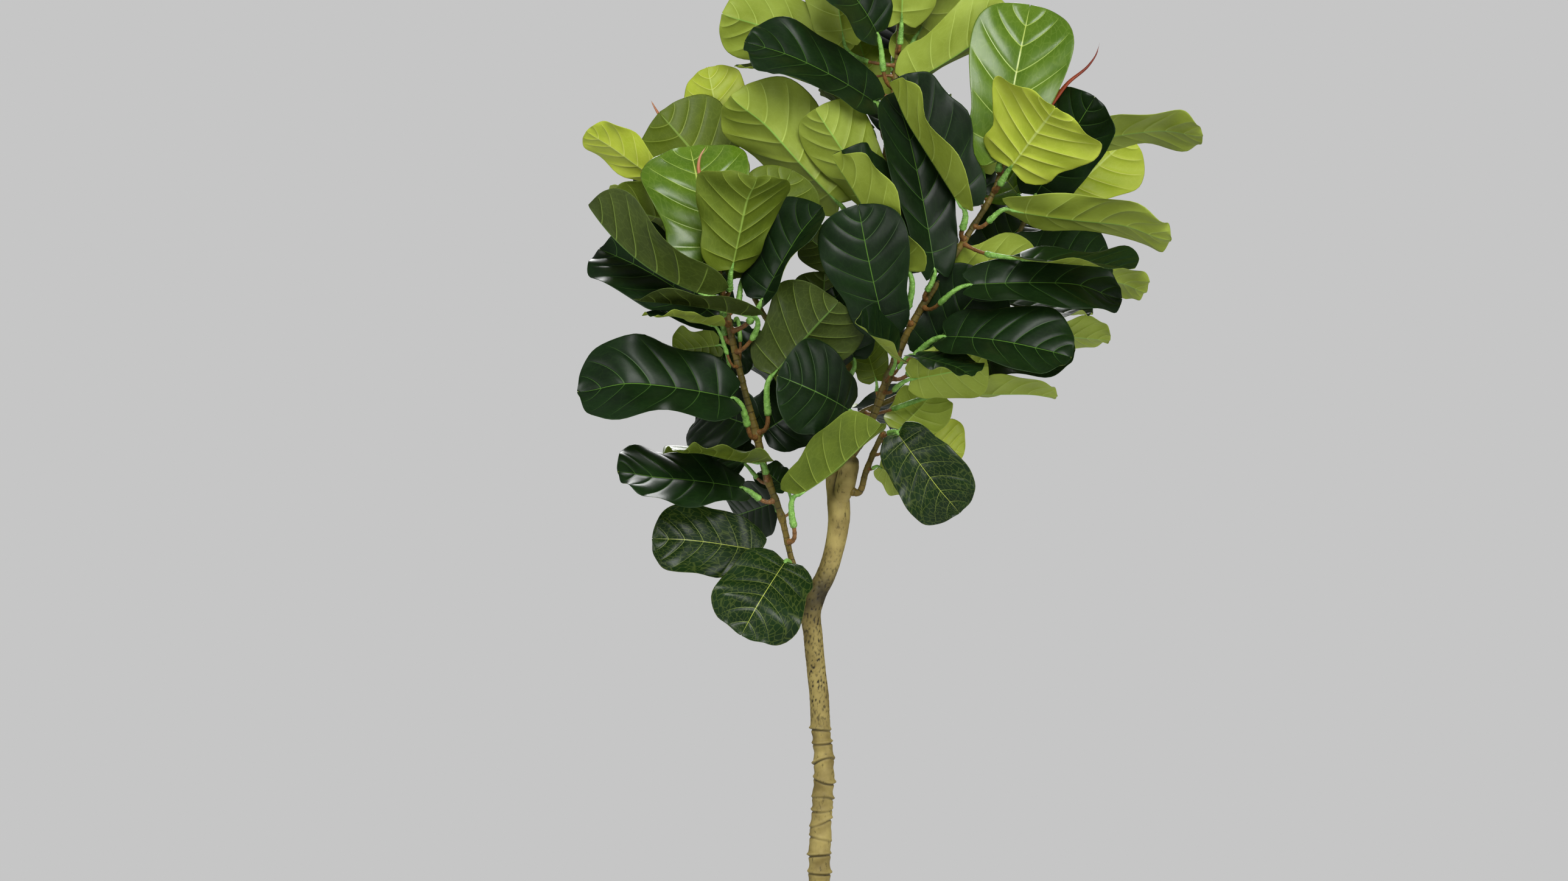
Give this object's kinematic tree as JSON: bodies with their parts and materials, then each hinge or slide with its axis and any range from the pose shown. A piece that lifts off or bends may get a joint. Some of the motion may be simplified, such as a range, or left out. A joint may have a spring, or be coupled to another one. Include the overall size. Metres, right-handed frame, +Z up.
{
  "type": "potted fiddle leaf fig",
  "caption": "Tall houseplant in a plain round pot: a bare ringed trunk forks into upright stems that carry large, wavy, fiddle-shaped leaves; it stands free on a floor.",
  "frame": {"origin": "middle of the pot's foot, on the floor", "axes": "+Z up along the trunk, -Y towards the plant's front, +X to the right as seen from the front"},
  "size_m": [0.882, 0.4912, 1.8042],
  "materials": {
    "bark": "pale grey-brown young bark, matt, with ring scars",
    "stem_bark": "smooth olive-brown twig bark, satin",
    "bud_sheath": "dry red-brown papery sheath",
    "leaf_old": "leathery dark green living leaf, waxy gloss above, duller olive below",
    "leaf_mid": "mid-green living leaf, waxy gloss",
    "leaf_young": "soft yellow-green young leaf, satin",
    "pot_plastic": "charcoal moulded plastic, matt",
    "soil": "damp dark potting soil, crumbly"
  },
  "bodies": {
    "root": {"pot": "pot_plastic", "soil": "soil", "trunk": "bark", "stem_leader": "stem_bark", "stem_left": "stem_bark", "stem_right": "stem_bark", "stem_low": "stem_bark", "stem_left_back": "stem_bark", "stem_right_back": "stem_bark", "bud_left": "bud_sheath", "bud_right": "bud_sheath", "bud_top": "bud_sheath", "leaf_01": "leaf_old", "leaf_02": "leaf_old", "leaf_03": "leaf_old", "leaf_04": "leaf_old", "leaf_05": "leaf_old", "leaf_06": "leaf_old", "leaf_07": "leaf_old", "leaf_08": "leaf_old", "leaf_09": "leaf_old", "leaf_10": "leaf_old", "leaf_11": "leaf_old", "leaf_12": "leaf_old", "leaf_13": "leaf_old", "leaf_14": "leaf_old", "leaf_15": "leaf_old", "leaf_16": "leaf_old", "leaf_17": "leaf_mid", "leaf_18": "leaf_young", "leaf_19": "leaf_old", "leaf_20": "leaf_old", "leaf_21": "leaf_old", "leaf_22": "leaf_old", "leaf_23": "leaf_mid", "leaf_24": "leaf_young", "leaf_25": "leaf_old", "leaf_26": "leaf_old", "leaf_27": "leaf_young", "leaf_28": "leaf_old", "leaf_29": "leaf_old", "leaf_30": "leaf_old", "leaf_31": "leaf_old", "leaf_32": "leaf_old", "leaf_33": "leaf_old", "leaf_34": "leaf_old", "leaf_35": "leaf_old", "leaf_36": "leaf_old", "leaf_37": "leaf_mid", "leaf_38": "leaf_mid", "leaf_39": "leaf_old", "leaf_40": "leaf_old", "leaf_41": "leaf_old", "leaf_42": "leaf_old", "leaf_43": "leaf_old", "leaf_44": "leaf_old", "leaf_45": "leaf_old", "leaf_46": "leaf_old", "leaf_47": "leaf_old", "leaf_48": "leaf_mid"}
  },
  "joints": []
}
